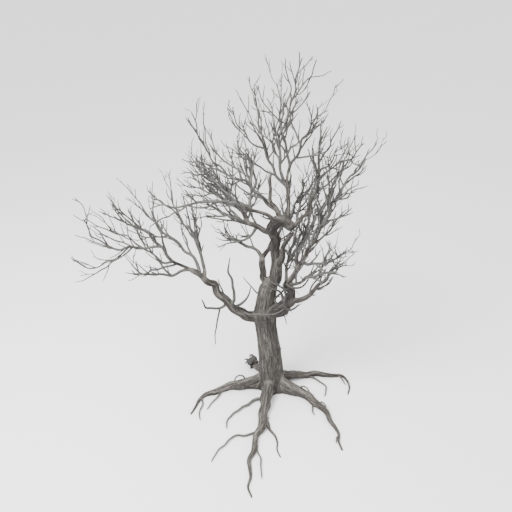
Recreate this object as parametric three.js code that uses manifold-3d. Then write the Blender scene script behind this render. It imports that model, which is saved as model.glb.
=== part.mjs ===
// A bare, dead tree that stands on level ground: a leaning trunk on spreading surface roots, and a
// forked crown of gnarled boughs. Each root, stem and bough is a closed, tapering solid of its own.
// Millimetres and degrees. +Z is up, +X the tree's right, -Y its front, and the origin is on the
// ground under the trunk.
import * as THREE from 'three';
import { mergeVertices } from 'three/addons/utils/BufferGeometryUtils.js';
import Module from 'manifold-3d';

const wasm = await Module();
wasm.setup();

// ---- Driving dimensions ----
const FIT_GAP = 0.3; // clearance left where a limb meets the one that it grows from
const RING_STEP = 245; // distance between the rings of a limb
const MIN_RINGS = 6;

// The trunk, from the ground to the fork: [height, lean along +X, radius]
const TRUNK_STATIONS = [
  [0, 0, 300],
  [300, -12, 308],
  [700, -30, 312],
  [1300, -70, 295],
  [1900, -140, 278],
  [2200, -180, 280],
  [2450, -200, 300],
  [2700, -195, 262],
  [3050, -165, 236],
  [3350, -115, 210],
  [3480, -85, 145],
];
const TRUNK_RINGS = 24;
const TRUNK_SIDES = 16;
const FLARE_REACH = 130; // how far the trunk's foot spreads along a root
const FLARE_HEIGHT = 300; // height over which the spread dies away
const FLARE_SHARPNESS = 12;
const FURROW_DEPTH = 0.035; // the trunk's slow flutes, as a share of its radius
const FURROW_COUNT = 5;

// A limb wanders about its heading by this much, once in each of these lengths
const WANDER_ANGLE = 14;
const BEARING_WAVE = 750;
const RISE_WAVE = 600;
const BOUGH_TAPER = 0.85; // 1 is a straight cone, less is fuller
const ROOT_TAPER = 1.3;
const ROOT_CLEARANCE = 1; // gap between a root's underside and level ground
const ROOT_SHOULDER = 60; // extra height where a root leaves the trunk
const ROOT_SHOULDER_LENGTH = 330; // length over which that height dies away

// Facets round a limb of at least this radius
const SIDES_FOR_RADIUS = [
  [110, 9],
  [70, 7],
  [30, 6],
  [0, 5],
];

// ---- Materials: weathered, barkless grey wood ----
const wood = (color) => new THREE.MeshStandardMaterial({ color, roughness: 0.9, metalness: 0 });
const trunkWood = wood(0x7c7872);
const rootWood = wood(0x8a8885);
const stemWood = wood(0x72706e);
const boughWood = wood(0x868482);

// ---- Limbs ----
// [name, parent, share of the way along the parent, length, [foot radius, tip radius], headings]
// A heading is [bearing, rise]: bearing 0 is +X, 90 the back, 180 the left and 270 the front; rise is
// the angle above level. A limb turns evenly from each heading to the next.
const STEMS = [
  ['main_stem', 'trunk', 0.96, 1550, [155, 115], [[-15, 55], [55, 85], [145, 80], [190, 80]]],
  ['left_stem', 'trunk', 0.94, 950, [100, 65], [[150, 75], [200, 75], [290, 85]]],
  ['arch', 'main_stem', 1, 900, [125, 105], [[235, 85], [320, 55], [335, 5], [300, -30]]],
  ['right_stem', 'trunk', 0.96, 1800, [80, 55], [[5, 35], [-70, 80], [-100, 85], [-15, 45]]],
  ['horn', 'arch', 1, 1650, [80, 18], [[195, 55], [190, 50], [245, 80], [310, 80]]],
  ['leader', 'arch', 0.96, 1250, [55, 32], [[120, 60], [95, 70], [80, 70]]],
  ['low_neck', 'trunk', 0.7, 1100, [165, 120], [[-20, 30], [-35, 45], [-50, 60]]],
  ['riser', 'low_neck', 0.96, 500, [105, 80], [[85, 85], [160, 65]]],
  ['great_limb', 'trunk', 0.68, 2650, [125, 60], [[200, 5], [195, 50], [200, 60], [200, 35]]],
];

const LEFT_CROWN = [
  ['fore_spray', 'left_stem', 1, 1200, [50, 8], [[140, 35], [135, -5], [150, 0]]],
  ['aft_bough', 'left_stem', 1, 2250, [55, 8], [[50, 5], [65, 20], [80, 25], [120, 25]]],
  ['crown_left', 'horn', 0.36, 2000, [45, 6], [[170, 35], [185, 50], [190, 25], [175, 15]]],
  ['crown_left_up', 'crown_left', 0.72, 1600, [16, 6], [[190, 35], [200, 60], [205, 70], [245, 75]]],
  ['crown_left_mid', 'crown_left', 0.56, 1300, [20, 6], [[105, 70], [170, 15], [110, 35], [170, 70]]],
  ['crown_left_rise', 'crown_left', 0.36, 1200, [25, 6], [[30, 40], [120, 65], [200, 50], [110, 75]]],
  ['long_reach', 'horn', 0.2, 3250, [50, 6], [[200, 25], [200, 30], [220, 5], [195, 10]]],
  ['rear_left', 'main_stem', 0.96, 3100, [75, 6], [[165, 5], [125, 35], [150, 25], [130, 35]]],
  ['rear_left_low', 'rear_left', 0.2, 1250, [50, 6], [[175, 25], [180, 25], [175, 25]]],
  ['rear_left_mid', 'rear_left', 0.32, 1500, [40, 6], [[165, 35], [160, 20], [170, 5]]],
  ['rear_left_top', 'rear_left', 0.3, 2100, [40, 6], [[45, 10], [100, 55], [110, 35], [115, 35]]],
  ['rear_left_hang', 'rear_left', 0.14, 1200, [35, 6], [[150, -85], [195, -25], [140, 5], [200, 60]]],
];

const TOP = [
  ['top', 'leader', 0.68, 3000, [32, 6], [[190, 70], [125, 85], [35, 65], [-5, 80], [75, 80]]],
  ['top_fork', 'top', 0.68, 1250, [13, 6], [[-50, 55], [-45, 45], [-100, 50]]],
  ['top_right', 'leader', 1, 1850, [30, 6], [[-40, 60], [-60, 65], [-40, 60], [-30, 40]]],
  ['top_right_fork', 'top_right', 0.52, 750, [16, 6], [[10, 10], [30, 75], [-60, 80]]],
  ['top_rear', 'leader', 0.98, 2050, [28, 6], [[55, 65], [135, 55], [80, 70], [115, 35]]],
  ['top_rear_fork', 'top', 0.18, 1950, [20, 6], [[115, 35], [85, 40], [115, 25]]],
  ['top_left', 'leader', 0.6, 2400, [30, 6], [[155, 60], [165, 60], [160, 70], [120, 75], [160, 85]]],
  ['top_left_fork', 'top_left', 0.48, 1300, [16, 6], [[195, 30], [205, 55], [230, 70]]],
];

const RIGHT_CROWN = [
  ['right_rise', 'arch', 1, 2450, [50, 6], [[25, 35], [40, 60], [100, 75], [15, 55]]],
  ['right_rise_out', 'right_rise', 0.52, 1500, [22, 6], [[-30, 65], [-40, 35], [-30, 35], [-75, 75]]],
  ['right_rise_fork', 'right_rise', 0.58, 1050, [20, 6], [[60, 15], [50, 15], [80, 40]]],
  ['right_rear', 'arch', 0.9, 1800, [40, 6], [[95, 30], [65, 10], [70, 25], [95, 15]]],
  ['right_rear_fork', 'right_rise', 0.08, 1750, [30, 6], [[95, 15], [65, 15], [65, 0]]],
  ['gnarled', 'low_neck', 1, 1750, [75, 10], [[-10, -5], [-40, 55], [-25, 55], [-45, 55], [-50, 85]]],
  ['right_great', 'riser', 0.96, 3700, [65, 6], [[-50, 65], [5, 65], [-15, 70], [-20, 50]]],
  ['right_reach', 'riser', 0.8, 2150, [45, 6], [[-35, 45], [-45, 40], [-50, 30], [-55, 55]]],
  ['right_front', 'right_great', 0.22, 1850, [30, 6], [[-45, 20], [-55, 25], [-65, 45], [-60, 35]]],
  ['right_inner', 'right_great', 0.16, 1900, [50, 6], [[110, 60], [45, 50], [70, 65], [45, 45]]],
  ['right_outer', 'right_great', 0.3, 2300, [35, 6], [[15, 70], [30, 70], [20, 70], [15, 65]]],
  ['rear_inner', 'riser', 1, 1750, [55, 6], [[120, 30], [60, 30], [80, 35], [60, 35]]],
  ['rear_right', 'right_stem', 0.48, 2450, [45, 6], [[55, -5], [65, 10], [65, 15], [70, 20]]],
];

const OUTER_LEFT = [
  ['left_outer', 'great_limb', 1, 2500, [45, 6], [[185, 10], [220, 60], [180, 55], [200, 30], [210, 85]]],
  ['left_far', 'left_outer', 0.42, 2150, [25, 6], [[160, -5], [215, 10], [195, 45], [285, 85]]],
  ['left_far_low', 'left_far', 0.3, 1600, [14, 6], [[230, -25], [215, -5], [235, 15], [240, 80]]],
  ['left_low', 'great_limb', 0.98, 1800, [35, 6], [[185, -10], [220, 15], [200, 25], [265, 80]]],
  ['left_rise', 'great_limb', 0.82, 2300, [45, 6], [[140, 75], [130, 70], [160, 40], [100, 80]]],
  ['left_rise_fork', 'left_rise', 0.4, 1100, [20, 6], [[-45, 80], [-105, 75], [-90, 65]]],
  ['left_rear', 'great_limb', 0.9, 2900, [35, 6], [[120, 50], [155, 25], [145, 40], [135, 30]]],
  ['left_mid', 'left_outer', 0.18, 2300, [22, 6], [[185, 15], [160, 40], [175, 15], [170, 30]]],
  ['snag', 'great_limb', 0.38, 1800, [45, 8], [[-45, 80], [-115, 75], [-125, 70], [-35, 65]]],
  ['drooper', 'great_limb', 0.46, 1200, [35, 8], [[195, -25], [235, 20], [230, 50], [260, 60]]],
];

// ---- Roots ----
// [name, foot as [x, y] inside the trunk, length, [foot radius, tip radius], bearings]
// A root lies on the ground, on its underside.
const ROOTS = [
  ['root_left', [-120, 0], 2550, [160, 15], [-180, -170, -150, -90]],
  ['root_front', [-30, -100], 3550, [150, 14], [-105, -95, -110, -95, -80]],
  ['root_right', [100, -50], 2950, [150, 15], [-10, -40, -70, -90]],
  ['root_far_right', [120, 50], 2800, [120, 12], [45, 5, -5, -135]],
  ['root_rear', [20, 120], 1850, [140, 15], [95, 75, 105]],
  ['root_rear_left', [-80, 100], 950, [130, 60], [160, 75, 190]],
  ['root_front_fork', [-180, -1120], 1350, [40, 8], [-70, -70, -85]],
];

// ---- Paths ----
// A limb's own phase, from the letters of its name, so that no two wander alike
const phaseOf = (name) => [...name].reduce((sum, letter) => sum + letter.charCodeAt(0), 0) * 0.7;

const blendAt = (values, share) => {
  const place = share * (values.length - 1);
  const before = Math.min(Math.floor(place), values.length - 2);
  return THREE.MathUtils.lerp(values[before], values[before + 1], place - before);
};

const pointAt = (path, share) => {
  const [x, y, z] = [0, 1, 2].map((axis) => blendAt(path.map((point) => point.getComponent(axis)), share));
  return new THREE.Vector3(x, y, z);
};

function wanderingPath(foot, name, length, bearings, rises) {
  const count = Math.max(MIN_RINGS, Math.round(length / RING_STEP));
  const phase = phaseOf(name);
  const path = [foot.clone()];
  for (let i = 0; i < count; i++) {
    const share = (i + 0.5) / count;
    const along = share * length * 2 * Math.PI;
    const bearing = blendAt(bearings, share) + WANDER_ANGLE * Math.sin(along / BEARING_WAVE + phase);
    const rise = blendAt(rises, share) + WANDER_ANGLE * Math.sin(along / RISE_WAVE + phase * 1.7 + 1);
    const [b, r] = [bearing, rise].map(THREE.MathUtils.degToRad);
    const step = new THREE.Vector3(Math.cos(b) * Math.cos(r), Math.sin(b) * Math.cos(r), Math.sin(r));
    path.push(path[i].clone().addScaledVector(step, length / count));
  }
  return path;
}

const radiiAlong = (count, [foot, tip], taper) =>
  Array.from({ length: count }, (_, i) => tip + (foot - tip) * (1 - i / (count - 1)) ** taper);

// ---- Solids ----
function toSolid(geometry) {
  geometry.deleteAttribute('normal');
  geometry.deleteAttribute('uv');
  const merged = mergeVertices(geometry, 1e-3);
  const solid = new wasm.Manifold(
    new wasm.Mesh({
      numProp: 3,
      vertProperties: new Float32Array(merged.attributes.position.array),
      triVerts: new Uint32Array(merged.index.array),
    }),
  );
  return solid;
}

// A lathe profile whose height counts rings, closed on the axis at both ends
const ringProfile = (radii) => [
  new THREE.Vector2(0, 0),
  ...radii.map((radius, ring) => new THREE.Vector2(radius, ring)),
  new THREE.Vector2(0, radii.length - 1),
];

// A limb: the lathe's rings are set square to the path. grow thickens it and lengthens both ends.
function tube(path, radii, grow) {
  const sides = SIDES_FOR_RADIUS.find(([radius]) => radii[0] >= radius)[1];
  const geometry = new THREE.LatheGeometry(ringProfile(radii.map((radius) => radius + grow)), sides);
  const last = path.length - 1;
  const frames = new THREE.CatmullRomCurve3(path).computeFrenetFrames(last, false);
  const position = geometry.attributes.position;
  for (let i = 0; i < position.count; i++) {
    const ring = Math.round(position.getY(i));
    const end = ring === 0 ? -grow : ring === last ? grow : 0;
    const place = path[ring]
      .clone()
      .addScaledVector(frames.tangents[ring], end)
      .addScaledVector(frames.normals[ring], position.getX(i))
      .addScaledVector(frames.binormals[ring], -position.getZ(i));
    position.setXYZ(i, place.x, place.y, place.z);
  }
  return toSolid(geometry);
}

const trunkCurve = new THREE.CatmullRomCurve3(TRUNK_STATIONS.map(([z, x]) => new THREE.Vector3(x, 0, z)));
const trunkPath = trunkCurve.getSpacedPoints(TRUNK_RINGS);

function trunkRadius(height) {
  const above = TRUNK_STATIONS.findIndex(([z]) => z >= height - 1e-6);
  if (above <= 0) return TRUNK_STATIONS[0][2];
  const [lower, upper] = [TRUNK_STATIONS[above - 1], TRUNK_STATIONS[above]];
  return THREE.MathUtils.mapLinear(height, lower[0], upper[0], lower[2], upper[2]);
}

// The trunk's rings are level, so that its foot is one flat cut. Each root draws its foot outwards.
function trunk(grow) {
  const last = TRUNK_RINGS;
  const rings = trunkPath.map((point) => trunkRadius(Math.min(point.z, TRUNK_STATIONS.at(-1)[0])));
  const geometry = new THREE.LatheGeometry(ringProfile(rings), TRUNK_SIDES);
  const position = geometry.attributes.position;
  for (let i = 0; i < position.count; i++) {
    const ring = Math.round(position.getY(i));
    const axis = trunkPath[ring];
    const angle = Math.atan2(-position.getZ(i), position.getX(i));
    let radius = Math.hypot(position.getX(i), position.getZ(i));
    if (radius > 1e-6) {
      const fade = Math.exp(-axis.z / FLARE_HEIGHT);
      for (const [, [x, y]] of ROOTS.filter(([, foot]) => Math.hypot(...foot) < trunkRadius(0))) {
        const facing = Math.max(0, Math.cos(angle - Math.atan2(y, x)));
        radius += FLARE_REACH * fade * facing ** FLARE_SHARPNESS;
      }
      radius *= 1 + FURROW_DEPTH * Math.sin(FURROW_COUNT * angle + axis.z / 500);
      radius += grow;
    }
    const end = ring === 0 ? -grow : ring === last ? grow : 0;
    position.setXYZ(i, axis.x + radius * Math.cos(angle), axis.y + radius * Math.sin(angle), axis.z + end);
  }
  return toSolid(geometry);
}

// ---- The tree ----
const tree = new THREE.Group();
const grown = []; // every limb so far: its path and the slightly larger sleeve that cuts the next ones

function addMesh(name, solid, material) {
  const { vertProperties, triVerts } = solid.getMesh();
  const geometry = new THREE.BufferGeometry();
  geometry.setAttribute('position', new THREE.BufferAttribute(new Float32Array(vertProperties), 3));
  geometry.setIndex(new THREE.BufferAttribute(new Uint32Array(triVerts), 1));
  geometry.computeVertexNormals();
  const mesh = new THREE.Mesh(geometry, material);
  mesh.name = name;
  tree.add(mesh);
}

// Cuts a limb by all that stand already and keeps its largest piece, the one that reaches its tip
function addLimb(name, path, radii, material) {
  let solid = tube(path, radii, 0);
  for (const other of grown) solid = solid.subtract(other.sleeve);
  const pieces = solid.decompose().sort((a, b) => b.volume() - a.volume());
  addMesh(name, pieces[0], material);
  grown.push({ name, path, sleeve: tube(path, radii, FIT_GAP) });
}

addMesh('trunk', trunk(0), trunkWood);
grown.push({ name: 'trunk', path: trunkPath, sleeve: trunk(FIT_GAP) });

for (const [name, [x, y], length, ends, bearings] of ROOTS) {
  const level = wanderingPath(new THREE.Vector3(x, y, 0), name, length, bearings, [0, 0]);
  const radii = radiiAlong(level.length, ends, ROOT_TAPER);
  const path = level.map((point, i) => {
    const shoulder = ROOT_SHOULDER * Math.exp(-((i * length) / radii.length / ROOT_SHOULDER_LENGTH));
    const fromTrunk = Math.hypot(x, y) < trunkRadius(0) ? shoulder : 0;
    return new THREE.Vector3(point.x, point.y, radii[i] + ROOT_CLEARANCE + fromTrunk);
  });
  addLimb(name, path, radii, rootWood);
}

for (const [limbs, material] of [
  [STEMS, stemWood],
  [LEFT_CROWN, boughWood],
  [TOP, boughWood],
  [RIGHT_CROWN, boughWood],
  [OUTER_LEFT, boughWood],
]) {
  for (const [name, parent, share, length, ends, headings] of limbs) {
    const foot = pointAt(grown.find((limb) => limb.name === parent).path, share);
    const [bearings, rises] = [0, 1].map((part) => headings.map((heading) => heading[part]));
    const path = wanderingPath(foot, name, length, bearings, rises);
    addLimb(name, path, radiiAlong(path.length, ends, BOUGH_TAPER), material);
  }
}

export default tree;
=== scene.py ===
import math

import bmesh
import bpy
import numpy as np
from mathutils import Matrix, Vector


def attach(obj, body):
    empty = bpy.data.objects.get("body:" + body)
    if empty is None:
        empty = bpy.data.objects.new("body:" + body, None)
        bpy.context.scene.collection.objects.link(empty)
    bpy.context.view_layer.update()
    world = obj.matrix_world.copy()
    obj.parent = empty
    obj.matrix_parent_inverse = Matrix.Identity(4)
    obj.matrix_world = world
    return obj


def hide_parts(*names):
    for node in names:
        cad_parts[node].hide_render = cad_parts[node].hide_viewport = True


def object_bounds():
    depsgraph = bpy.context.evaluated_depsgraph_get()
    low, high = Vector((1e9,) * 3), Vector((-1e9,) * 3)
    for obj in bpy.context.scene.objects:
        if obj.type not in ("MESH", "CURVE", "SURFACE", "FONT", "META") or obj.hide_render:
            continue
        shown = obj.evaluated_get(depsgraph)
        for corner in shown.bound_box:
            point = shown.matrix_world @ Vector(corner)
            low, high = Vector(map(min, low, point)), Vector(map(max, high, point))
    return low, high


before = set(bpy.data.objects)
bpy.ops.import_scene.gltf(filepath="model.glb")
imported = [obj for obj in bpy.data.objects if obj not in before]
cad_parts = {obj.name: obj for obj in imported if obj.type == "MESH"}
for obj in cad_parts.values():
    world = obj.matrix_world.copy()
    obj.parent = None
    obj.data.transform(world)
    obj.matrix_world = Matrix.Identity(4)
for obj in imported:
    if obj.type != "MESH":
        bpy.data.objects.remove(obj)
cad_low, cad_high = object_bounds()

# ---- How the limbs run ----
# A dead tree is one skeleton of tapering limbs. Each limb's rings are read back from its own solid,
# from foot to tip, and its foot is run on to the middle of the thicker limb that it grows out of.

FINE_STEP = 0.03  # spacing of the points along a limb
ROOT_MARK = "root"
KINK_LENGTH = 0.24  # a limb bends a little about this often
KINK = 0.011  # and by about this much, or by a share of its radius where it is thin
KINK_SHARE = 0.35
UNEVEN = 0.055  # how unevenly thick a limb is
HOLD = 6  # points at each end of a limb over which its kinks fade out
RUNS_ON = 1.6  # a limb that starts within this many radii of its parent's end carries on from it
WELD = 1e-5
SAME_RING = 2e-4  # corners this alike in height or distance lie on one ring
FOOT_SHARES = (1.1, 0.95)  # the foot's radius inside its parent, next to its own and to its parent's
TIP_SHARES = (0.5, 0.55)  # how far the tip is drawn out and how thin it ends, next to its radius
THINNEST = 0.003
ROOT_REST = 0.8  # a root's middle lies at least this share of its radius above the ground
SIDE_FLARE, RUN_ON_FLARE = 0.5, 0.05  # how much the foot swells of a limb that branches off or runs on


def welded(node):
    """The solid of a node as a bmesh whose faces share their corners."""
    solid = bmesh.new()
    solid.from_mesh(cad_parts[node].data)
    bmesh.ops.remove_doubles(solid, verts=solid.verts, dist=WELD)
    return solid


def neighbours(corner):
    return [edge.other_vert(corner) for edge in corner.link_edges]


def tip_corner(solid):
    """The middle of a limb's end: all its neighbours are equally far, and nearer than at any other."""
    best, nearest = None, 1e9
    for corner in solid.verts:
        spokes = [(other.co - corner.co).length for other in neighbours(corner)]
        if len(spokes) > 4 and max(spokes) - min(spokes) < SAME_RING and spokes[0] < nearest:
            best, nearest = corner, spokes[0]
    return best


def read_rings(node):
    """Centres and radii of a limb's rings from foot to tip, and the middle of the cut under its foot."""
    solid = welded(node)
    tip = tip_corner(solid)
    ring, seen = neighbours(tip), {tip}
    sides = len(ring)
    centres, radii = [], []
    while len(ring) == sides:
        place = np.array([corner.co for corner in ring])
        centres.append(place.mean(0))
        radii.append(np.linalg.norm(place - centres[-1], axis=1).mean())
        seen.update(ring)
        ring = list({other for corner in ring for other in neighbours(corner) if other not in seen})
    rest = [corner.co for corner in solid.verts if corner not in seen]
    cut = np.mean([tuple(co) for co in rest], axis=0)
    solid.free()
    return np.array(centres[::-1]), np.array(radii[::-1]), cut


def smooth_through(values, count):
    """Catmull-Rom through the rows of values, at count even steps."""
    padded = np.vstack([2 * values[:1] - values[1:2], values, 2 * values[-1:] - values[-2:-1]])
    place = np.linspace(0, len(values) - 1, count)
    at = np.minimum(place.astype(int), len(values) - 2)
    t = (place - at)[:, None]
    a, b, c, d = (padded[at + k] for k in range(4))
    return b + 0.5 * t * (c - a + t * (2 * a - 5 * b + 4 * c - d + t * (3 * (b - c) + d - a)))


def lengths_along(points):
    return np.concatenate([[0], np.cumsum(np.linalg.norm(np.diff(points, axis=0), axis=1))])


def unit(vectors):
    return vectors / np.maximum(np.linalg.norm(vectors, axis=-1, keepdims=True), 1e-9)


class Limb:
    """A limb's fine course: points, radii, distance along it, direction and two cross directions.

    flare is the share by which its foot swells where it leaves the side of its parent.
    """

    def __init__(self, name, points, radii, tone=1.0, flare=SIDE_FLARE):
        self.name, self.points, self.radii, self.flare = name, points, radii, flare
        self.tone = np.broadcast_to(tone, len(points))
        self.along = lengths_along(points)
        self.length = self.along[-1]
        self.ahead = unit(np.gradient(points, axis=0))
        across = np.cross(self.ahead[0], (0.3, 1.0, 0.2))
        self.across = np.empty_like(points)
        for i, ahead in enumerate(self.ahead):
            across = unit(across - ahead * across.dot(ahead))
            self.across[i] = across
        self.beside = np.cross(self.ahead, self.across)

    def at(self, distance):
        """Point, direction, radius and tone with its painted shade at a distance along the limb."""
        i = min(int(np.searchsorted(self.along, distance)), len(self.points) - 1)
        return self.points[i], self.ahead[i], self.radii[i], self.tone[i]


def read_trunk():
    """The trunk's rings as a grid of points: rings by corners by three."""
    solid = welded("trunk")
    corners = np.array([corner.co for corner in solid.verts])
    solid.free()
    heights = np.unique(corners[:, 2].round(4))
    rings = []
    for height in heights:
        ring = corners[abs(corners[:, 2] - height) < SAME_RING]
        off = ring[:, :2] - ring[:, :2].mean(0)
        # The flat ends have a middle point, which is no part of their ring
        keep = np.hypot(*off.T) > 0.3 * np.hypot(*off.T).max()
        ring, off = ring[keep], off[keep]
        rings.append(ring[np.argsort(np.arctan2(off[:, 1], off[:, 0]))])
    return np.array(rings)


trunk_rings = read_trunk()
trunk_axis = trunk_rings.mean(1)
trunk_radii = np.linalg.norm(trunk_rings - trunk_axis[:, None], axis=2).mean(1)
fine_count = round(lengths_along(trunk_axis)[-1] / FINE_STEP)
trunk_points = smooth_through(trunk_axis, fine_count)
# The trunk's tone holds painted shade: it is painted darkest where the shade falls under its lowest fork
TRUNK_PAINTED_SHADE = [
    (0, 0.98), (0.5, 0.90), (1.2, 0.93), (1.9, 0.93), (2.35, 0.62), (2.7, 0.78), (3.1, 1.12), (3.5, 1.12),
]
trunk_painted_shade = np.interp(trunk_points[:, 2], *np.array(TRUNK_PAINTED_SHADE).T)
trunk = Limb("trunk", trunk_points, smooth_through(trunk_radii[:, None], fine_count)[:, 0], trunk_painted_shade)

# Limbs that lie in the tree's own shade are painted darker, as painted shade, and some other limbs are
# paler: the tone at a limb's foot and at its tip
LIMB_TONES_AND_SHADE = {
    "main_stem": (1.0, 0.62), "arch": (0.50, 0.55), "low_neck": (0.72, 0.52), "riser": (0.52, 0.62),
    "horn": (1.4, 1.6), "leader": (0.9, 1.05), "left_stem": (1.0, 1.05), "right_stem": (0.9, 1.15),
    "great_limb": (0.85, 1.05), "gnarled": (0.65, 1.0), "rear_left": (0.75, 1.0), "fore_spray": (0.75, 0.95),
    "aft_bough": (0.72, 0.9), "long_reach": (1.1, 1.2), "right_inner": (1.0, 1.15),
    "right_outer": (1.0, 1.15), "rear_inner": (0.85, 1.0), "rear_right": (0.85, 1.0),
    "drooper": (0.85, 0.9), "snag": (1.0, 1.05),
}
ROOT_TONE = 1.14
kinks = np.random.default_rng(11)

rings_read = {node: read_rings(node) for node in sorted(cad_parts) if node != "trunk"}
limbs = {"trunk": trunk}
# The limb with the thickest foot comes first, so that each one's parent is there before it
for node in sorted(rings_read, key=lambda name: -rings_read[name][1][0]):
    centres, radii, cut = rings_read[node]
    placed = np.vstack([limb.points for limb in limbs.values()])
    placed_radii = np.concatenate([limb.radii for limb in limbs.values()])
    to_end = np.concatenate([limb.length - limb.along for limb in limbs.values()])
    joint = np.linalg.norm(placed - cut, axis=1).argmin()
    runs_on = to_end[joint] < RUNS_ON * placed_radii[joint]
    centres = np.vstack([placed[joint], centres])
    foot = min(radii[0] * FOOT_SHARES[0], placed_radii[joint] * FOOT_SHARES[1])
    radii = np.concatenate([[foot], radii])
    end = centres[-1] + unit(centres[-1] - centres[-2]) * radii[-1] * TIP_SHARES[0]
    centres, radii = np.vstack([centres, end]), np.append(radii, radii[-1] * TIP_SHARES[1])
    count = max(12, round(lengths_along(centres)[-1] / FINE_STEP))
    points = smooth_through(centres, count)
    girths = np.maximum(smooth_through(radii[:, None], count)[:, 0], THINNEST)
    knots = max(4, round(count * FINE_STEP / KINK_LENGTH))
    sway = smooth_through(kinks.normal(0, 1, (knots, 3)), count)
    swell = smooth_through(kinks.normal(1, UNEVEN, (knots, 1)), count)[:, 0]
    fade = np.minimum(1, np.arange(count) / HOLD)[:, None]
    hold = fade * fade[::-1]
    reach = KINK * (0.5 if node.startswith(ROOT_MARK) else 1)
    points = points + sway * np.minimum(girths * KINK_SHARE, reach)[:, None] * hold
    if node.startswith(ROOT_MARK):
        points[:, 2] = np.maximum(points[:, 2], girths * ROOT_REST)
    tone = ROOT_TONE if node.startswith(ROOT_MARK) else np.linspace(*LIMB_TONES_AND_SHADE.get(node, (1.0, 1.05)), count)
    limbs[node] = Limb(node, points, girths * swell, tone, RUN_ON_FLARE if runs_on else SIDE_FLARE)

ROOTS = [name for name in limbs if name.startswith(ROOT_MARK)]
STEMS = [
    "main_stem", "left_stem", "right_stem", "arch", "horn", "leader", "low_neck", "riser", "great_limb",
]
BOUGHS = [name for name in limbs if name not in STEMS and name not in ROOTS and name != "trunk"]

# ---- Weathered wood ----
# Dead wood without its bark: silver-grey ridges with brown-grey grooves between them, all running
# along the limb, in patches that weather darker or paler.
# Light and shade are painted in as well: faces that look up are painted lighter, undersides darker, and the
# tone holds painted shade.


class Tree:
    """Adds nodes to a node tree: their settings are set first, then their sockets' values or links."""

    def __init__(self, nodes_of):
        self.nodes, self.links = nodes_of.nodes, nodes_of.links

    def put(self, kind, sockets=None, out=0, **settings):
        node = self.nodes.new(kind)
        for key, value in settings.items():
            setattr(node, key, value)
        for key, value in (sockets or {}).items():
            if isinstance(value, Number):
                value = value.socket
            if isinstance(value, bpy.types.NodeSocket):
                self.links.new(value, node.inputs[key])
            else:
                node.inputs[key].default_value = value
        return node.outputs[out] if len(node.outputs) else node

    def number(self, kind, sockets=None, out=0, **settings):
        return Number(self, self.put(kind, sockets, out, **settings))


class Number:
    """A socket that can be written in sums: each operator adds a Math node."""

    def __init__(self, tree, socket):
        self.tree, self.socket = tree, socket

    def math(self, operation, other, swapped=False):
        pair = (other, self) if swapped else (self, other)
        return self.tree.number("ShaderNodeMath", dict(enumerate(pair)), operation=operation)

    def __add__(self, other):
        return self.math("ADD", other)

    def __sub__(self, other):
        return self.math("SUBTRACT", other)

    def __rsub__(self, other):
        return self.math("SUBTRACT", other, swapped=True)

    def __mul__(self, other):
        return self.math("MULTIPLY", other)

    def __pow__(self, other):
        return self.math("POWER", other)

    __radd__, __rmul__ = __add__, __mul__


def shade(value):
    """A linear grey of an eight-bit screen grey."""
    part = value / 255
    return part / 12.92 if part < 0.04045 else ((part + 0.055) / 1.055) ** 2.4


def tint(red, green, blue):
    return (shade(red), shade(green), shade(blue), 1.0)


JOINT_LIGHT = 0.46  # the wood is even where one limb's grain meets another's


def weathered_wood(name, ridge, groove, crack, fine, bump, relief_share):
    """fine is the number of fine grooves to a metre across the grain; relief_share mixes in the shape."""
    material = bpy.data.materials.new(name)
    material.use_nodes = True
    material.node_tree.nodes.clear()
    tree = Tree(material.node_tree)
    grain = tree.put("ShaderNodeAttribute", out="Vector", attribute_name="grain")
    read = lambda label: tree.number("ShaderNodeAttribute", out="Fac", attribute_name=label)
    tone, painted_top_light = read("tone"), read("painted_top_light")
    noise = lambda scale, detail: tree.number(
        "ShaderNodeTexNoise", {"Vector": grain, "Scale": scale, "Detail": detail, "Roughness": 0.6}
    )
    spread = lambda value, low, high: tree.number(
        "ShaderNodeMapRange",
        {"Value": value, "From Min": low, "From Max": high},
        interpolation_type="SMOOTHSTEP",
    )
    cracks = lambda scale, width: spread((noise(scale, 2.0) - 0.5).math("ABSOLUTE", 0), 0.0, width)
    lines = cracks(fine, 0.07)
    fibres = cracks(fine * 2.6, 0.11) * 0.28 + 0.72
    body = spread(noise(fine * 0.5, 4.0) * 0.6 + noise(fine * 0.07, 3.0) * 0.4, 0.36, 0.62)
    light = (body * 0.75 + 0.25) * fibres
    if relief_share:
        relief, clear = read("relief"), read("clear")
        light = light * (1 - relief_share) + spread(relief, 0.2, 0.85) * fibres * relief_share
        light = (light - JOINT_LIGHT) * clear + JOINT_LIGHT
        lines = 1 - (1 - lines) * clear
    wood = tree.put("ShaderNodeMix", {0: light, 6: groove, 7: ridge}, out=2, data_type="RGBA")
    wood = tree.put("ShaderNodeMix", {0: lines * 0.85 + 0.15, 6: crack, 7: wood}, out=2, data_type="RGBA")
    # Painted light and shade: faces that look up are painted lighter, undersides darker
    tone_and_painted_light = tone * (painted_top_light * 0.34 + 0.80)
    wood = tree.put("ShaderNodeVectorMath", {0: wood, "Scale": tone_and_painted_light}, operation="SCALE")
    height = light * 0.6 + lines * 0.4
    dents = tree.put("ShaderNodeBump", {"Height": height, "Strength": 0.8, "Distance": bump})
    surface = tree.put(
        "ShaderNodeBsdfPrincipled",
        {"Base Color": wood, "Roughness": 0.97 - light * 0.12, "Normal": dents, "IOR": 1.4},
    )
    tree.put("ShaderNodeOutputMaterial", {"Surface": surface})
    return material


old_grey_wood = weathered_wood(
    "old_grey_wood", tint(118, 113, 107), tint(46, 43, 40), tint(18, 17, 16), 36, 0.016, 0.65
)
young_grey_wood = weathered_wood(
    "young_grey_wood", tint(104, 102, 98), tint(60, 59, 57), tint(32, 31, 30), 90, 0.003, 0.0
)


# ---- Trunk, roots and stems ----
# The thick wood is one body: the fluted trunk with its drawn-out foot, and the roots and stems that
# flow out of it. They are grown together, softened where they meet, and furrowed along the grain.

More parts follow.
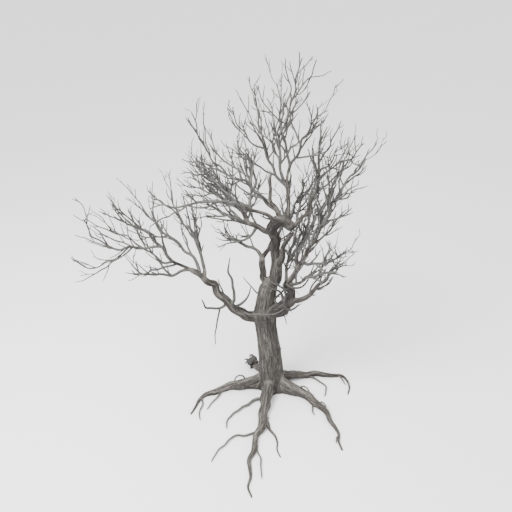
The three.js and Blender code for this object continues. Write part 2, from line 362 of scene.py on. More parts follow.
THICK = 0.036  # limbs at least this thick are part of the grown-together wood
VOXEL = 0.0138  # side of the cells that the grown-together surface is built from
SOFTEN, SOFTEN_SHARE = 9, 0.5  # rounds of smoothing, and how far a corner moves in each
SEAM = 0.12  # the thin end of a limb starts this far inside the thick wood
SEAM_DEPTH = 0.25  # and is thinner there by this share
BUTTRESS = [(1.0, 0.20), (0.40, 0.27)]  # height and distance out of the ridge that each root sends up
BUTTRESS_RADII = (0.05, 0.11)  # of the ridge at those two places
BUTTRESS_POINTS = 30
BUTTRESS_REACH = 0.95  # how far along the root its ridge comes down to it
TRUNK_ROOT = 0.5  # a root whose foot is nearer to the trunk's middle than this has a ridge
ROOT_BARK = (1.06, 0.010)  # weathered roots are their solids' radius times this, and this much more
SPLICE = 0.02  # gap between a ridge's end and the root's next point
THICK_POINTS = 8  # a bough joins the thick wood when more of its points than this are thick
BODY_SIDES = 20
COLLAR = 2.4  # a limb's foot swells over about this many of its radii
FURROW_DEPTH = 0.020
FURROW_RIDGES = 13.0
CLEAR_GAP = 0.045  # the grain fades where the second nearest limb is less than this farther off
TONE_ROUNDS = 14  # how often the tones of neighbouring corners are evened out
BATCH = 4000  # corners whose nearest limb is looked for at one time
GROUND_GAP = 0.0005
TRUNK_RINGS = 110
ROUND_STEPS = 4  # steps between two corners round the trunk
FORK_HEIGHT = 2.28  # the wood is cut into a lower and an upper piece just under the first stems


def geometry_tree(name, inputs):
    """An empty Geometry Nodes tree with a Geometry input and output, and inputs of the named kinds."""
    group = bpy.data.node_groups.new(name, "GeometryNodeTree")
    group.interface.new_socket("Geometry", in_out="INPUT", socket_type="NodeSocketGeometry")
    for label, kind in inputs.items():
        group.interface.new_socket(label, in_out="INPUT", socket_type=kind)
    group.interface.new_socket("Geometry", in_out="OUTPUT", socket_type="NodeSocketGeometry")
    tree = Tree(group)
    entry = tree.put("NodeGroupInput").node
    return group, tree, {socket.name: socket for socket in entry.outputs if socket.name}


def run_tree(piece, group, values):
    """Runs a tree on a piece and keeps the result as its plain mesh."""
    modifier = piece.modifiers.new(group.name, "NODES")
    modifier.node_group = group
    for item in group.interface.items_tree:
        if item.item_type == "SOCKET" and item.in_out == "INPUT" and item.name in values:
            modifier[item.identifier] = values[item.name]
    return settle(piece)


def settle(piece):
    """Turns a piece's modifiers into a plain mesh."""
    bpy.context.view_layer.update()
    seen_by = bpy.context.evaluated_depsgraph_get()
    seen = piece.evaluated_get(seen_by)
    mesh = bpy.data.meshes.new_from_object(seen, preserve_all_data_layers=True, depsgraph=seen_by)
    piece.modifiers.clear()
    piece.data = mesh
    mesh.name = piece.name
    return piece


ROUNDED_TIP = (0.8, 0.35)  # shares of the radius at a limb's last two points
STRAND_SHIFT = 3.7  # each limb's grain starts this much further on, so that no two are alike
BODY_SHIFT = (1.7, 0.9)  # and in the grown-together wood it is shifted sideways


def strand_piece(name, courses):
    """A piece of loose strands: a row of edges for each limb, with its girth, length and tone."""
    starts = np.cumsum([0] + [len(limb.points) for limb in courses])
    points = np.vstack([limb.points for limb in courses])
    girths = [np.append(limb.radii[:-2], limb.radii[-2:] * ROUNDED_TIP) for limb in courses]
    edges = np.concatenate(
        [np.stack([np.arange(a, b - 1), np.arange(a + 1, b)], 1) for a, b in zip(starts, starts[1:])]
    )
    mesh = bpy.data.meshes.new(name)
    mesh.from_pydata(points.tolist(), edges.tolist(), [])
    for label, values in (
        ("girth", np.concatenate(girths)),
        ("along", np.concatenate([limb.along + STRAND_SHIFT * k for k, limb in enumerate(courses)])),
        ("tone", np.concatenate([limb.tone for limb in courses])),
    ):
        mesh.attributes.new(label, "FLOAT", "POINT").data.foreach_set("value", values.astype(np.float32))
    piece = bpy.data.objects.new(name, mesh)
    bpy.context.scene.collection.objects.link(piece)
    return piece


GRAIN_STRETCH = 14.0  # the grain runs this much longer along a limb than across it
LUMPS = 26.0  # how closely the lumps on a limb lie


def upward(tree):
    """How far the surface faces up, from -1 to 1: the share that paints tops lighter and undersides darker.
    """
    return tree.put("ShaderNodeSeparateXYZ", {0: tree.put("GeometryNodeInputNormal")}, out="Z")


def sweep_tree():
    """Strands become closed round limbs, which carry the grain and a slow, uneven relief."""
    group, tree, given = geometry_tree(
        "sweep",
        {
            "Sides": "NodeSocketInt",
            "Relief": "NodeSocketFloat",
            "Material": "NodeSocketMaterial",
        },
    )
    read = lambda label: tree.number("GeometryNodeInputNamedAttribute", {"Name": label}, data_type="FLOAT")
    rail = tree.put("GeometryNodeMeshToCurve", {"Mesh": given["Geometry"]})
    ring = tree.put("GeometryNodeCurvePrimitiveCircle", {"Resolution": given["Sides"], "Radius": 1.0})
    ring = tree.put(
        "GeometryNodeStoreNamedAttribute",
        {"Geometry": ring, "Name": "around", "Value": tree.put("GeometryNodeInputPosition")},
        data_type="FLOAT_VECTOR",
    )
    tube = tree.put(
        "GeometryNodeCurveToMesh",
        {"Curve": rail, "Profile Curve": ring, "Scale": read("girth"), "Fill Caps": True},
    )
    around = tree.put("GeometryNodeInputNamedAttribute", {"Name": "around"}, data_type="FLOAT_VECTOR")
    across = lambda axis: tree.number("ShaderNodeSeparateXYZ", {0: around}, out=axis)
    girth = read("girth")
    grain = tree.put(
        "ShaderNodeCombineXYZ",
        {
            "X": across("X") * girth,
            "Y": across("Y") * girth,
            "Z": read("along") * (1 / GRAIN_STRETCH),
        },
    )
    tube = tree.put(
        "GeometryNodeStoreNamedAttribute",
        {"Geometry": tube, "Name": "grain", "Value": grain},
        data_type="FLOAT_VECTOR",
    )
    laid = tree.put("GeometryNodeInputNamedAttribute", {"Name": "grain"}, data_type="FLOAT_VECTOR")
    lumps = tree.number("ShaderNodeTexNoise", {"Vector": laid, "Scale": LUMPS, "Detail": 2.0})
    push = tree.put(
        "ShaderNodeVectorMath",
        {0: tree.put("GeometryNodeInputNormal"), "Scale": (lumps - 0.5) * read("girth") * given["Relief"]},
        operation="SCALE",
    )
    # Stores how far each face looks up, for the painted top light and shade
    tube = tree.put(
        "GeometryNodeStoreNamedAttribute",
        {"Geometry": tube, "Name": "painted_top_light", "Value": upward(tree)},
        data_type="FLOAT",
    )
    tube = tree.put("GeometryNodeSetPosition", {"Geometry": tube, "Offset": push})
    tube = tree.put("GeometryNodeRealizeInstances", {"Geometry": tube})
    tube = tree.put("GeometryNodeSetShadeSmooth", {"Geometry": tube})
    tube = tree.put("GeometryNodeSetMaterial", {"Geometry": tube, "Material": given["Material"]})
    tree.put("NodeGroupOutput", {"Geometry": tube})
    return group


sweep = sweep_tree()


def grid_piece(name, rings):
    """A closed piece from rings of points, with a middle point at each end."""
    count, sides = rings.shape[:2]
    points = np.vstack([rings.reshape(-1, 3), rings[0].mean(0), rings[-1].mean(0)])
    faces = []
    for i in range(count - 1):
        for j in range(sides):
            k = (j + 1) % sides
            faces.append((i * sides + j, i * sides + k, (i + 1) * sides + k, (i + 1) * sides + j))
    low, high = count * sides, count * sides + 1
    for j in range(sides):
        k = (j + 1) % sides
        faces.append((low, k, j))
        faces.append((high, (count - 1) * sides + j, (count - 1) * sides + k))
    mesh = bpy.data.meshes.new(name)
    mesh.from_pydata(points.tolist(), [], faces)
    piece = bpy.data.objects.new(name, mesh)
    bpy.context.scene.collection.objects.link(piece)
    return piece


def joined(name, pieces):
    """One piece from several, in the order given."""
    whole = bmesh.new()
    for piece in pieces:
        whole.from_mesh(piece.data)
        bpy.data.objects.remove(piece)
    mesh = bpy.data.meshes.new(name)
    whole.to_mesh(mesh)
    whole.free()
    result = bpy.data.objects.new(name, mesh)
    bpy.context.scene.collection.objects.link(result)
    return result


def part_of(limb, first, last):
    """The stretch of a limb between two distances along it, drawn in a little at a cut end."""
    keep = (limb.along >= first) & (limb.along <= last)
    inward = np.full(len(limb.points), SEAM)
    if first > 0:
        inward = np.minimum(inward, limb.along - first)
    if last < limb.length:
        inward = np.minimum(inward, last - limb.along)
    drawn_in = 1 - SEAM_DEPTH * (1 - np.clip(inward / SEAM, 0, 1))
    part = Limb(limb.name, limb.points[keep], (limb.radii * drawn_in)[keep], limb.tone[keep])
    part.along += max(first, 0)
    return part


def collared(limb):
    """A limb whose foot swells where it leaves its parent."""
    swell = 1 + limb.flare * np.exp(-limb.along / (COLLAR * limb.radii[0]))
    return Limb(limb.name, limb.points, limb.radii * swell, limb.tone)


def grown_together(name, pieces, voxel):
    """One closed surface round all the pieces, softened."""
    body = joined(name, pieces)
    remesh = body.modifiers.new("grow", "REMESH")
    remesh.mode, remesh.voxel_size = "VOXEL", voxel
    soft = body.modifiers.new("soften", "SMOOTH")
    soft.factor, soft.iterations = SOFTEN_SHARE, SOFTEN
    return settle(body)


def store(mesh, label, kind, values):
    key = "vector" if kind == "FLOAT_VECTOR" else "value"
    layer = mesh.attributes.new(label, kind, "POINT")
    layer.data.foreach_set(key, np.ascontiguousarray(values, np.float32).ravel())


def lay_grain(piece, courses):
    """Gives each corner its place in the nearest limb's grain, and its tone with painted shade, evened out
    at forks.
    """
    mesh = piece.data
    corners = np.empty(len(mesh.vertices) * 3, np.float32)
    mesh.vertices.foreach_get("co", corners)
    corners = corners.reshape(-1, 3)
    axis = np.vstack([limb.points for limb in courses]).astype(np.float32)
    girth = np.concatenate([limb.radii for limb in courses]).astype(np.float32)
    first = np.cumsum([0] + [len(limb.points) for limb in courses])[:-1]
    owner = np.repeat(np.arange(len(courses)), [len(limb.points) for limb in courses])
    nearest = np.empty(len(corners), int)
    clear = np.empty(len(corners), np.float32)
    for a in range(0, len(corners), BATCH):
        some = corners[a : a + BATCH]
        square = (some**2).sum(1)[:, None] + (axis**2).sum(1)[None] - 2 * some @ axis.T
        gap = np.sqrt(np.maximum(square, 0)) - girth[None]
        nearest[a : a + BATCH] = gap.argmin(1)
        by_limb = np.minimum.reduceat(gap, first, axis=1)
        by_limb.partition(1, axis=1)
        clear[a : a + BATCH] = by_limb[:, 1] - by_limb[:, 0]
    stack = lambda part: np.vstack([getattr(limb, part) for limb in courses])
    away = corners - axis[nearest]
    along = np.concatenate([limb.along for limb in courses])[nearest]
    forward = (away * stack("ahead")[nearest]).sum(1)
    grain = np.stack(
        [
            (away * stack("across")[nearest]).sum(1) + BODY_SHIFT[0] * owner[nearest],
            (away * stack("beside")[nearest]).sum(1) + BODY_SHIFT[1] * owner[nearest],
            (along + forward) / GRAIN_STRETCH,
        ],
        1,
    )
    edges = np.empty(len(mesh.edges) * 2, int)
    mesh.edges.foreach_get("vertices", edges)
    edges = edges.reshape(-1, 2)
    joins = np.bincount(edges.ravel(), minlength=len(corners))
    # Each corner takes its limb's tone, painted shade included
    tone = np.concatenate([limb.tone for limb in courses])[nearest]
    for _ in range(TONE_ROUNDS):
        total = np.bincount(edges[:, 0], tone[edges[:, 1]], len(corners))
        total += np.bincount(edges[:, 1], tone[edges[:, 0]], len(corners))
        tone = total / np.maximum(joins, 1)
    store(mesh, "grain", "FLOAT_VECTOR", grain)
    store(mesh, "tone", "FLOAT", tone)
    store(mesh, "girth", "FLOAT", girth[nearest])
    store(mesh, "clear", "FLOAT", np.clip(clear / CLEAR_GAP, 0, 1))


def furrow_tree():
    """Furrows the wood along its grain: broad flutes, ridges with sharp grooves, and fine lines."""
    group, tree, given = geometry_tree(
        "furrows",
        {
            "Depth": "NodeSocketFloat",
            "Ridges": "NodeSocketFloat",
            "Material": "NodeSocketMaterial",
        },
    )
    read = lambda label, kind: tree.put("GeometryNodeInputNamedAttribute", {"Name": label}, data_type=kind)
    grain = read("grain", "FLOAT_VECTOR")
    girth, clear = (Number(tree, read(label, "FLOAT")) for label in ("girth", "clear"))
    noise = lambda scale, detail, kind: tree.number(
        "ShaderNodeTexNoise", {"Vector": grain, "Scale": scale, "Detail": detail}, noise_type=kind
    )
    ridges = Number(tree, given["Ridges"])
    broad = noise(ridges * 0.35, 1.0, "FBM") - 0.5
    folds = noise(ridges, 3.0, "FBM")
    folds = 1 - (folds - 0.5).math("ABSOLUTE", 0) * 7.0
    folds = folds.math("MAXIMUM", 0)
    fine = noise(ridges * 3, 2.0, "FBM") - 0.5
    height = broad * 1.7 - folds * 0.7 + fine * 0.5 + 0.6
    depth = (girth * (1 / 0.28)).math("MINIMUM", 1.0) ** 0.6 * given["Depth"] * (clear * 0.75 + 0.25)
    push = tree.put(
        "ShaderNodeVectorMath",
        {0: tree.put("GeometryNodeInputNormal"), "Scale": height * depth},
        operation="SCALE",
    )
    bark = tree.put(
        "GeometryNodeStoreNamedAttribute",
        {
            "Geometry": given["Geometry"],
            "Name": "relief",
            "Value": (0.66 - folds * 0.55 + broad * 0.5 + fine * 0.4).math("MAXIMUM", 0),
        },
        data_type="FLOAT",
    )
    # Stores how far each face looks up, for the painted top light and shade
    bark = tree.put(
        "GeometryNodeStoreNamedAttribute",
        {"Geometry": bark, "Name": "painted_top_light", "Value": upward(tree)},
        data_type="FLOAT",
    )
    bark = tree.put("GeometryNodeSetPosition", {"Geometry": bark, "Offset": push})
    bark = tree.put("GeometryNodeRealizeInstances", {"Geometry": bark})
    bark = tree.put("GeometryNodeSetShadeSmooth", {"Geometry": bark})
    bark = tree.put("GeometryNodeSetMaterial", {"Geometry": bark, "Material": given["Material"]})
    tree.put("NodeGroupOutput", {"Geometry": bark})
    return group


furrows = furrow_tree()


def stand_on_ground(piece):
    """Presses what the relief has pushed under the ground back up to it."""
    corners = np.empty(len(piece.data.vertices) * 3, np.float32)
    piece.data.vertices.foreach_get("co", corners)
    corners[2::3] = np.maximum(corners[2::3], GROUND_GAP)
    piece.data.vertices.foreach_set("co", corners)
    piece.data.update()


def swept(name, courses, sides, relief, material):
    """Limbs swept along their courses, as one piece."""
    return run_tree(
        strand_piece(name, courses), sweep, {"Sides": sides, "Relief": relief, "Material": material}
    )


# The trunk's rings are made finer with smooth curves, first up its corners and then round each ring,
# which runs on over its own start so that it closes smoothly
around = np.concatenate([trunk_rings, trunk_rings[:, :1]], axis=1)
fine_rings = smooth_through(around.reshape(len(around), -1), TRUNK_RINGS).reshape(TRUNK_RINGS, -1, 3)
wrapped = np.concatenate([fine_rings[:, -3:-1], fine_rings, fine_rings[:, 1:3]], axis=1)
steps = (wrapped.shape[1] - 1) * ROUND_STEPS + 1
fine_rings = smooth_through(wrapped.transpose(1, 0, 2).reshape(wrapped.shape[1], -1), steps)
fine_rings = fine_rings.reshape(steps, TRUNK_RINGS, 3).transpose(1, 0, 2)
fine_rings = fine_rings[:, 2 * ROUND_STEPS : -2 * ROUND_STEPS - 1]

for name in ROOTS:
    limbs[name].radii = limbs[name].radii * ROOT_BARK[0] + ROOT_BARK[1]

# A root close to the trunk also climbs it as a ridge, which comes down to the root about a metre out.
# Its own foot stays buried under the ridge, where it fills the wood out
buried = []
rising = []
for name in ROOTS:
    root = collared(limbs[name])
    reach, _, girth, _ = root.at(BUTTRESS_REACH)
    out = unit((reach - trunk.points[0]) * (1, 1, 0))
    top, shoulder = (trunk.at(height)[0] + out * offset for height, offset in BUTTRESS)
    if np.linalg.norm(root.points[0] - trunk.points[0]) < TRUNK_ROOT:
        buried.append(root)
        rest = root.along > BUTTRESS_REACH + SPLICE
        course = smooth_through(np.array([top, shoulder, reach]), BUTTRESS_POINTS)
        widths = smooth_through(np.array([*BUTTRESS_RADII, girth])[:, None], BUTTRESS_POINTS)[:, 0]
        root = Limb(
            name,
            np.vstack([course, root.points[rest]]),
            np.concatenate([widths, root.radii[rest]]),
            np.concatenate([np.full(BUTTRESS_POINTS, ROOT_TONE), root.tone[rest]]),
        )
    rising.append(root)
thick_parts = rising + [collared(limbs[name]) for name in STEMS]
thick_ends = {}
for name in BOUGHS:
    thick = limbs[name].along[limbs[name].radii > THICK]
    if len(thick) > THICK_POINTS:
        thick_ends[name] = thick[-1]
        thick_parts.append(part_of(collared(limbs[name]), 0, thick[-1]))
old_wood = grown_together(
    "trunk_and_roots",
    [
        grid_piece("trunk_core", fine_rings),
        swept("limb_core", buried + thick_parts, BODY_SIDES, 0.0, old_grey_wood),
    ],
    VOXEL,
)
lay_grain(old_wood, [trunk] + thick_parts)
run_tree(
    old_wood, furrows, {"Depth": FURROW_DEPTH, "Ridges": FURROW_RIDGES, "Material": old_grey_wood}
)
stand_on_ground(old_wood)


def cut_at(piece, height, keep_above):
    """Keeps what is above or below a height, and closes the cut."""
    body = bmesh.new()
    body.from_mesh(piece.data)
    cut = bmesh.ops.bisect_plane(
        body,
        geom=body.verts[:] + body.edges[:] + body.faces[:],
        plane_co=(0, 0, height),
        plane_no=(0, 0, 1),
        clear_inner=keep_above,
        clear_outer=not keep_above,
    )
    rim = [item for item in cut["geom_cut"] if isinstance(item, bmesh.types.BMEdge)]
    lids = bmesh.ops.contextual_create(body, geom=rim)["faces"]
    bmesh.ops.triangulate(body, faces=lids)
    for edge in rim:
        edge.smooth = False
    body.to_mesh(piece.data)
    body.free()


stem_bark = bpy.data.objects.new("stems", old_wood.data.copy())
bpy.context.scene.collection.objects.link(stem_bark)
cut_at(old_wood, FORK_HEIGHT, keep_above=False)
cut_at(stem_bark, FORK_HEIGHT, keep_above=True)
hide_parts("trunk", *ROOTS)
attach(old_wood, "root")
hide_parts(*STEMS)
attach(stem_bark, "root")

# ---- Boughs ----
# The thinner limbs run from the stems to the outline of the crown. Each is swept along its own
# course, starts inside the limb that it grows from, and has small lumps and swellings.

BOUGH_BARK = (1.05, 0.004)  # thicker than the solid, as the roots are
BOUGH_SIDES = 10
BOUGH_RELIEF = 0.35

for name in BOUGHS:
    limbs[name].radii = limbs[name].radii * BOUGH_BARK[0] + BOUGH_BARK[1]
bough_parts = []
for name in BOUGHS:
    if name in thick_ends:
        bough_parts.append(part_of(limbs[name], thick_ends[name] - SEAM, limbs[name].length))
    else:
        bough_parts.append(collared(limbs[name]))
boughs = swept("boughs", bough_parts, BOUGH_SIDES, BOUGH_RELIEF, young_grey_wood)
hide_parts(*BOUGHS)
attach(boughs, "root")

# ---- Shoots, twigs and twiglets ----
# Shoots leave the boughs in turn all round, at a sharp angle, and bend up and outwards; twigs leave
# the shoots, and twiglets the twigs, by the same rule. Each kind is swept into its own piece.

GOLDEN = math.radians(137.5)
UP = np.array([0.0, 0.0, 1.0])
BEND_LENGTH = 0.13  # a shoot bends to and fro about this often
RUN_OUT = 0.02  # shoots may pass the outline of the solids by this much

REACH_SHARE = 0.6  # a shoot or its twig reaches this share of its parent's length, or the next values
SHOOT_REACH = 1.25
TWIG_REACH = 0.5
BOUGH_TWIG_REACH = 0.58
SHORT_REACH = 0.3
# Each kind's habit: the gap between two, the share of its parent's length where the first one stands,
# its foot and tip radius, how strongly it turns up, how far it wanders, and the spacing of its points
SHOOT = dict(
    gap=0.32, first=0.12, foot_girth=0.029, tip_girth=0.0095, lift=0.40, wander=0.19, step=0.04
)
TWIG_ON_SHOOT = dict(
    gap=0.27, first=0.12, foot_girth=0.020, tip_girth=0.0075, lift=0.40, wander=0.20, step=0.035
)
TWIG_ON_BOUGH = dict(
    gap=0.36, first=0.18, foot_girth=0.021, tip_girth=0.008, lift=0.44, wander=0.20, step=0.035
)
TWIG_ON_SPUR = dict(
    gap=0.2, first=0.3, foot_girth=0.014, tip_girth=0.006, lift=0.34, wander=0.2, step=0.04
)
TWIGLET = dict(
    gap=0.85, first=0.15, foot_girth=0.013, tip_girth=0.007, lift=0.44, wander=0.22, step=0.03
)


def grow(chance, foot, heading, goal, length, girths, wander, step, tone):
    """One shoot: it sets out along heading, swings round to goal, and bends to and fro on the way."""
    count = max(4, round(length / step))
    share = np.linspace(0, 1, count + 1)[:, None]
    bends = smooth_through(chance.normal(0, wander, (max(3, round(length / BEND_LENGTH)), 3)), count + 1)
    turned = unit(heading * (1 - share) + goal * share + bends * np.minimum(1, share * 5))
    points = foot + np.vstack([np.zeros(3), np.cumsum(turned[:-1], axis=0)]) * length / count
    radii = girths[1] + (girths[0] - girths[1]) * (1 - share[:, 0]) ** 0.7
    return Limb("shoot", points, radii, tone)


def side_shoots(
    chance, parent, reach, density, gap, first, foot_girth, tip_girth, lift, wander, step
):
    """Shoots of one kind all along a parent: a gap apart, or closer by density, and shorter than reach
    towards its tip. Those that would leave the outline of the solids are left out."""
    made = []
    gap = gap / density
    distance = parent.length * first + chance.uniform(0, gap)
    turn = chance.uniform(0, 2 * math.pi)
    while distance < parent.length * 0.98:
        point, ahead, girth, parent_tone_and_shade = parent.at(distance)
        turn += GOLDEN + chance.normal(0, 0.35)
        side = unit(np.cross(ahead, UP) + 1e-6)
        over = np.cross(side, ahead)
        out = unit(math.cos(turn) * side + (math.sin(turn) + 0.2) * over)
        fork = math.radians(chance.uniform(24, 46))
        heading = ahead * math.cos(fork) + out * math.sin(fork)
        goal = unit(ahead * 0.6 + out * 0.3 + UP * lift + chance.normal(0, 0.15, 3))
        left = 1 - distance / parent.length
        length = reach * (0.4 + 0.6 * left**0.6) * chance.uniform(0.5, 1.2)
        foot = min(girth * 0.8, foot_girth * chance.uniform(0.75, 1.1))
        # A shoot takes its parent's tone and painted shade, varied at random
        tone = parent_tone_and_shade * chance.uniform(0.88, 1.12)
        shoot = grow(
            chance, point, heading, goal, length, (foot, min(tip_girth, foot)), wander, step, tone
        )
        if np.all(shoot.points > lowest) and np.all(shoot.points < highest):
            made.append(shoot)
        distance += gap * chance.uniform(0.6, 1.4)
    return made


lowest, highest = np.array(cad_low) - RUN_OUT, np.array(cad_high) + RUN_OUT
chance = np.random.default_rng(2027)

# [limb, share along it, length, foot and tip radius, [bearing, rise] headings]: spurs and stray twigs
STRAYS = [
    ("great_limb", 0.26, 1.50, 0.025, 0.013, [(-60, 40), (0, 10), (20, 50)]),
    ("trunk", 0.86, 0.95, 0.030, 0.010, [(-120, 40), (180, 50), (170, 80)]),
    ("left_stem", 0.30, 0.80, 0.016, 0.010, [(-70, -10), (-20, -30)]),
    ("main_stem", 0.55, 0.75, 0.016, 0.009, [(-70, 0), (-30, -20)]),
    ("drooper", 0.22, 1.10, 0.026, 0.012, [(-140, -60), (180, -85)]),
    ("great_limb", 0.36, 0.85, 0.044, 0.015, [(0, 30), (10, 60), (0, 85)]),
    ("great_limb", 0.42, 0.80, 0.036, 0.011, [(180, 60), (170, 85)]),
    ("low_neck", 0.50, 0.45, 0.020, 0.010, [(-80, -10), (-40, -85)]),
    ("low_neck", 0.80, 0.40, 0.020, 0.010, [(-60, -30), (180, -80)]),
    ("riser", 0.45, 0.85, 0.045, 0.022, [(-150, -10), (-120, -60), (-60, -60), (0, 20), (30, 60)]),
    ("low_neck", 0.42, 0.90, 0.040, 0.016, [(-95, 70), (180, 60), (60, 20), (0, 50), (-60, 75)]),
    ("low_neck", 0.62, 0.95, 0.042, 0.015, [(-95, 60), (120, 75), (180, 40), (120, 0), (80, 60)]),
    ("riser", 0.15, 0.80, 0.036, 0.014, [(-160, 20), (170, 60), (100, 70), (40, 30), (0, 50)]),
    ("riser", 0.60, 0.90, 0.036, 0.013, [(-120, 30), (180, 30), (160, 65), (100, 80), (60, 60)]),
    ("riser", 0.85, 1.00, 0.036, 0.012, [(-100, 20), (-60, -10), (0, 10), (30, 45), (20, 70)]),
]


UNREST = 9  # degrees that a spur strays from its headings


def stray(name, share, length, foot_girth, tip_girth, headings):
    """A limb that follows a few headings, blended one into the next."""
    parent = limbs[name]
    foot, _, _, tone = parent.at(parent.length * share)
    count = round(length / FINE_STEP)
    headings = np.array(headings, float)
    headings[:, 0] = np.degrees(np.unwrap(np.radians(headings[:, 0])))
    turned = smooth_through(headings, count)
    unrest = smooth_through(chance.normal(0, UNREST, (max(4, count // 6), 2)), count)
    bearing, rise = np.radians(turned + unrest).T
    forward = np.stack([np.cos(bearing) * np.cos(rise), np.sin(bearing) * np.cos(rise), np.sin(rise)], 1)
    points = foot + np.vstack([np.zeros(3), np.cumsum(forward * length / count, axis=0)])
    girths = tip_girth + (foot_girth - tip_girth) * (1 - np.linspace(0, 1, count + 1))
    return Limb("stray", points, girths, tone)


TANGLED = 6  # the last rows of STRAYS are the tangle round the low fork, which carries twigs
strays = [stray(*row) for row in STRAYS]

# How closely shoots and twigs stand on a limb, next to 1 on the others
DENSITY = {
    "rear_left": 2.6, "rear_left_low": 2.2, "rear_left_mid": 2.4, "rear_left_top": 1.8,
    "rear_left_hang": 1.6, "aft_bough": 1.5, "right_inner": 1.6, "right_outer": 1.7,
    "right_great": 1.6, "rear_inner": 1.6, "rear_right": 1.5, "right_stem": 1.5,
    "left_far_low": 0.7, "left_low": 1.1, "horn": 0.5, "leader": 0.6, "long_reach": 0.8,
}
BARE = ["snag", "drooper"]  # broken or hanging boughs that have lost their shoots
shoots, twigs, twiglets = [], [], []
branched = [name for name in BOUGHS if name not in BARE]
for seed, name in enumerate(branched + ["leader", "horn"]):
    limb, chance = limbs[name], np.random.default_rng(4000 + seed)
    density = DENSITY.get(name, 1.0)
    reach = min(REACH_SHARE * limb.length, SHOOT_REACH)
    grown = side_shoots(chance, limb, reach, density, **SHOOT)
    shoots += grown
    for shoot in grown:
        reach = min(REACH_SHARE * shoot.length, TWIG_REACH)
        twigs += side_shoots(chance, shoot, reach, density**0.5, **TWIG_ON_SHOOT)
    twigs += side_shoots(chance, limb, BOUGH_TWIG_REACH, density, **TWIG_ON_BOUGH)
for limb in strays[-TANGLED:]:
    twigs += side_shoots(chance, limb, SHORT_REACH, 1.0, **TWIG_ON_SPUR)
for limb in twigs:
    twiglets += side_shoots(chance, limb, SHORT_REACH, 1.0, **TWIGLET)
shoots += strays

# Six, four or three sides are enough for so thin a limb, and only the shoots are thick enough for relief
for name, courses, sides, relief in (
    ("shoots", shoots, 6, 0.3),
    ("twigs", twigs, 4, 0.0),
    ("twiglets", twiglets, 3, 0.0),
):
    piece = swept(name, courses, sides, relief, young_grey_wood)
    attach(piece, "root")

# ---- Rootlets ----
# Thinner roots leave the main roots sideways and creep over the ground in curves. A few arch up and
# dip back into their root.

# [root, share along it, turn from its direction in degrees, length, girth, curl in degrees a metre]
ROOTLETS = [
    ("root_left", 0.50, 28, 0.85, 0.028, 26), ("root_left", 0.74, 28, 0.85, 0.024, 22),
    ("root_front", 0.14, -66, 1.60, 0.046, 62), ("root_front", 0.46, -46, 1.60, 0.032, 52),
    ("root_front", 0.55, 20, 1.10, 0.026, -14), ("root_front", 0.30, 50, 0.24, 0.022, 60),
    ("root_right", 0.36, -30, 0.62, 0.028, -10), ("root_right", 0.82, -28, 0.34, 0.020, 20),
    ("root_far_right", 0.36, -24, 1.05, 0.032, -95), ("root_far_right", 0.68, -42, 0.42, 0.024, -90),
    ("root_rear", 0.45, 40, 0.60, 0.028, 60), ("root_rear", 0.70, -40, 0.30, 0.024, 50),
]
# [root, shares along it where the arch leaves and comes back, height over the root]
ARCHES = [
    ("root_left", 0.26, 0.38, 0.13), ("root_right", 0.27, 0.37, 0.11), ("root_right", 0.50, 0.58, 0.07),
    ("root_far_right", 0.05, 0.14, 0.12),
]
ARCH_SHAPE = [(0.1, 0.8), (0.5, 1.05), (0.9, 0.8)]  # share of the way across, share of the height
ARCH_RADII = (0.028, 0.018)
ARCH_POINTS = 26
ARCH_LEAN = 0.05  # the arches stand a little behind their root
ROOTLET_TIP = 0.014
ROOTLET_STEP = 0.04
ROOTLET_BEND, ROOTLET_BEND_LENGTH = 0.32, 0.14  # radians to either side, and about how often
ROOTLET_REST = 0.9  # as ROOT_REST
ROOTLET_FALL = 0.12  # it comes down to the ground over about this length
ROOTLET_HUMP = 0.03  # and rises off it by this much half-way
ROOTLET_SIDES = 8
ROOTLET_RELIEF = 0.4
BURL_SHOOTS = [(0.15, 0.085)] * 14 + [(0.32, 0.040)] * 7  # length and foot radius: knobs, then hooks
# The knob behind the trunk is painted darker, as painted shade
BURL_PAINTED_SHADE = 0.7


def rootlet(root, share, turn, length, girth, curl):
    """A thin root that creeps over the ground from its main root."""
    point, ahead, *_ = root.at(root.length * share)
    bearing = math.atan2(ahead[1], ahead[0]) + math.radians(turn)
    count = max(8, round(length / ROOTLET_STEP))
    knots = max(4, round(length / ROOTLET_BEND_LENGTH))
    bends = smooth_through(chance.normal(0, ROOTLET_BEND, (knots, 1)), count)[:, 0]
    points = [np.array(point)]
    for bend in bends:
        bearing += math.radians(curl) * length / count
        forward = np.array([math.cos(bearing + bend), math.sin(bearing + bend), 0]) * length / count
        points.append(points[-1] + forward)
    points = np.array(points)
    girths = ROOTLET_TIP + (girth - ROOTLET_TIP) * (1 - np.linspace(0, 1, count + 1)) ** 0.8
    rest = girths * ROOTLET_REST + ROOTLET_HUMP * np.abs(np.sin(np.linspace(0, 3.0, count + 1)))
    fall = np.exp(-lengths_along(points) / ROOTLET_FALL)
    points[:, 2] = points[:, 2] * fall + rest * (1 - fall)
    return Limb("rootlet", points, girths, ROOT_TONE)


def arched_root(root, first, last, rise):
    """A thin root that rises out of its main root and dips back into it."""
    feet = [root.at(root.length * share)[0] for share in (first, last)]
    top = np.array([0, ARCH_LEAN, rise + root.at(root.length * first)[2]])
    between = [feet[0] * (1 - t) + feet[1] * t + top * share for t, share in ARCH_SHAPE]
    course = smooth_through(np.array([feet[0], *between, feet[1]]), ARCH_POINTS)
    return Limb("arched_root", course, np.linspace(*ARCH_RADII, ARCH_POINTS), ROOT_TONE)


chance = np.random.default_rng(7)
rootlets = [rootlet(limbs[name], *rest) for name, *rest in ROOTLETS]
rootlets += [arched_root(limbs[name], *rest) for name, *rest in ARCHES]
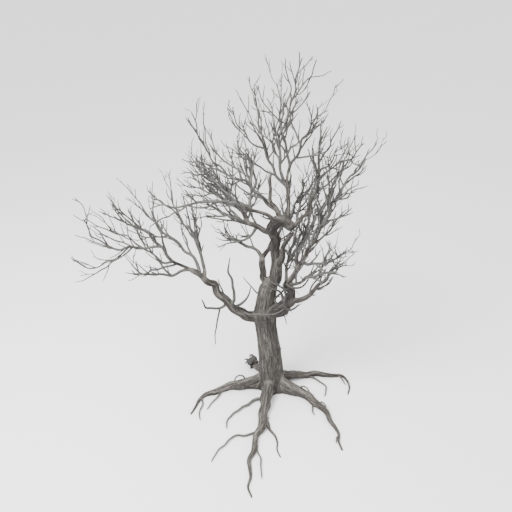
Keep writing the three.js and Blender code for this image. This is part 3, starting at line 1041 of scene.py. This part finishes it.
# The short root behind the trunk carries a knob of short, thick shoots, from which thinner hooks hang
burl = limbs["root_rear_left"].points[-4] + (0.06, 0, 0.12)
chance = np.random.default_rng(63)
for length, girth in BURL_SHOOTS:
    heading = unit(chance.normal(0, 1, 3) + (-0.3, 0, 0.2))
    goal = unit(heading * 0.3 + (-0.3, -0.1, -1.0))
    girths = (girth * chance.uniform(0.8, 1.1), girth * 0.4)
    length *= chance.uniform(0.7, 1.1)
    foot = burl + heading * 0.05
    rootlets.append(grow(chance, foot, heading, goal, length, girths, 0.7, 0.02, BURL_PAINTED_SHADE))
for branch in rootlets:
    branch.points[:, 2] = np.maximum(branch.points[:, 2], branch.radii * ROOTLET_REST)
rootlet_piece = swept("rootlets", rootlets, ROOTLET_SIDES, ROOTLET_RELIEF, young_grey_wood)
stand_on_ground(rootlet_piece)
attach(rootlet_piece, "root")

# ---- Floor, light and camera ----
# The tree stands on a plain pale floor, under a broad soft key light from the upper left, a weak fill
# from the right and an even sky. The camera stands in front of the tree and looks down on its crown.

FLOOR_SIZE = 600.0
PALE = 0.92
LIGHT_AIM = (0, 0, 4)
LIGHT_SIZE = 9
SKY_LIGHT = 1.95
CAMERA_PLACE = (-0.43, -11.39, 10.78)
CAMERA_LENS = 38.6
CAMERA_DOWN = 30  # degrees that it looks down by
floor_mesh = bpy.data.meshes.new("floor")
half = FLOOR_SIZE / 2
floor_corners = [(-half, -half, 0), (half, -half, 0), (half, half, 0), (-half, half, 0)]
floor_mesh.from_pydata(floor_corners, [], [(0, 1, 2, 3)])
floor = bpy.data.objects.new("floor", floor_mesh)
bpy.context.scene.collection.objects.link(floor)
pale = bpy.data.materials.new("pale_floor")
pale.use_nodes = True
pale.node_tree.nodes["Principled BSDF"].inputs["Base Color"].default_value = (PALE, PALE, PALE, 1)
pale.node_tree.nodes["Principled BSDF"].inputs["Roughness"].default_value = 1.0
floor_mesh.materials.append(pale)


def area_light(name, place, target, size, power):
    data = bpy.data.lights.new(name, "AREA")
    data.shape, data.size, data.energy = "DISK", size, power
    lamp = bpy.data.objects.new(name, data)
    bpy.context.scene.collection.objects.link(lamp)
    lamp.location = place
    x, y, z = np.array(target) - np.array(place)
    lamp.rotation_euler = (math.atan2(math.hypot(x, y), -z), 0, math.atan2(y, x) - math.pi / 2)


area_light("key", (-8, -7, 17), LIGHT_AIM, LIGHT_SIZE, 7200)
area_light("fill", (12, -8, 8), LIGHT_AIM, LIGHT_SIZE, 500)
world = bpy.data.worlds.new("studio")
world.use_nodes = True
world.node_tree.nodes["Background"].inputs["Color"].default_value = (1, 1, 1, 1)
world.node_tree.nodes["Background"].inputs["Strength"].default_value = SKY_LIGHT
bpy.context.scene.world = world

camera_data = bpy.data.cameras.new("camera")
camera_data.lens, camera_data.sensor_width = CAMERA_LENS, 36.0
camera_data.clip_end = 1500
camera = bpy.data.objects.new("camera", camera_data)
bpy.context.scene.collection.objects.link(camera)
camera.location = CAMERA_PLACE
camera.rotation_euler = (math.radians(90 - CAMERA_DOWN), 0, 0)
bpy.context.scene.camera = camera
